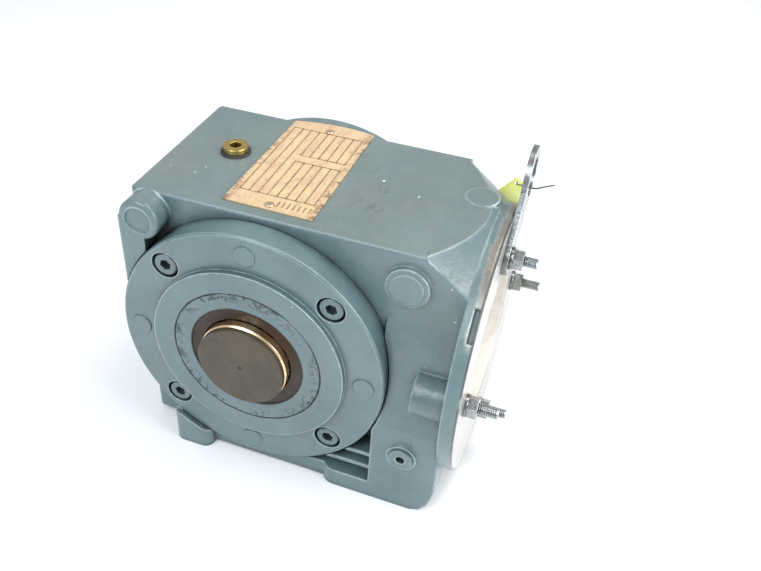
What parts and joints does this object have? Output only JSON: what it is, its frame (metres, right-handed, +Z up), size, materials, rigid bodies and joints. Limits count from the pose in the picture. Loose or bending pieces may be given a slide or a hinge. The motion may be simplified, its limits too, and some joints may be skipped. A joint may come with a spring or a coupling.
{
  "type": "worm gearbox",
  "caption": "Right-angle worm gear reducer in a cast case with feet, a flanged hollow output shaft and a studded round motor flange.",
  "frame": {"origin": "on the output shaft's axis, in the middle plane of the worm wheel", "axes": "+X along the worm towards the motor flange, +Y along the output shaft towards the back, away from the flanged output cover, +Z up from the feet"},
  "size_m": [0.214, 0.15, 0.1874],
  "materials": {
    "housing_paint": "semi-gloss blue-grey enamel on cast iron, edges worn",
    "cover_paint": "semi-gloss blue-grey enamel",
    "seal_rubber": "brown oil-seal rubber",
    "gasket_fibre": "dark fibre gasket",
    "bright_steel": "machined steel",
    "black_screws": "screws painted over with the case",
    "plug_plastic": "painted-over hole plugs",
    "bearing_steel": "ground bearing steel",
    "spring_steel": "dark spring steel",
    "wheel_bronze": "cast bronze",
    "cap_plastic": "dark brown moulded cap",
    "zinc_steel": "zinc-plated steel",
    "tag_card": "yellow plastic tag",
    "wire_steel": "thin tie wire",
    "plug_brass": "brass, handled",
    "plate_metal": "printed aluminium plate, aged"
  },
  "bodies": {
    "case": {"housing": "housing_paint", "output_cover": "cover_paint", "cover_gasket": "gasket_fibre", "cover_screws": "black_screws", "flange_hole_plugs": "plug_plastic", "seal_carrier": "cover_paint", "front_oil_seal": "seal_rubber", "rear_oil_seal": "seal_rubber", "rear_bearing_circlip": "spring_steel", "output_bearing_outer_rings": "bearing_steel", "worm_bearing_outer_rings": "bearing_steel", "worm_bearing_circlips": "spring_steel", "worm_end_cap": "bright_steel", "motor_studs": "zinc_steel", "stud_nuts": "zinc_steel", "stud_washers": "zinc_steel", "lifting_plate": "zinc_steel", "identity_tag": "tag_card", "tag_wire": "wire_steel", "filler_plug": "plug_brass", "filler_plug_washer": "gasket_fibre", "drain_plug": "cover_paint", "nameplate": "plate_metal", "nameplate_rivets": "zinc_steel"},
    "output": {"output_shaft": "bright_steel", "worm_wheel": "wheel_bronze", "shaft_spacers": "bright_steel", "output_bearing_inner_rings": "bearing_steel", "output_bearing_balls": "bearing_steel", "bore_cap": "cap_plastic"},
    "worm": {"worm_shaft": "bright_steel", "worm_bearing_inner_rings": "bearing_steel", "worm_bearing_balls": "bearing_steel", "helical_wheel": "bright_steel", "helical_wheel_key": "bright_steel", "helical_wheel_circlip": "spring_steel"}
  },
  "joints": [
    {"name": "output_spin", "type": "hinge", "parent": "case", "child": "output", "pos_m": [0, 0, 0], "axis": [0, 1, 0], "continuous": true},
    {"name": "worm_spin", "type": "hinge", "parent": "case", "child": "worm", "pos_m": [0, 0, -0.05], "axis": [1, 0, 0], "continuous": true}
  ],
  "couplings": [
    {"joint": "worm_spin", "follows": "output_spin", "ratio": 15}
  ]
}
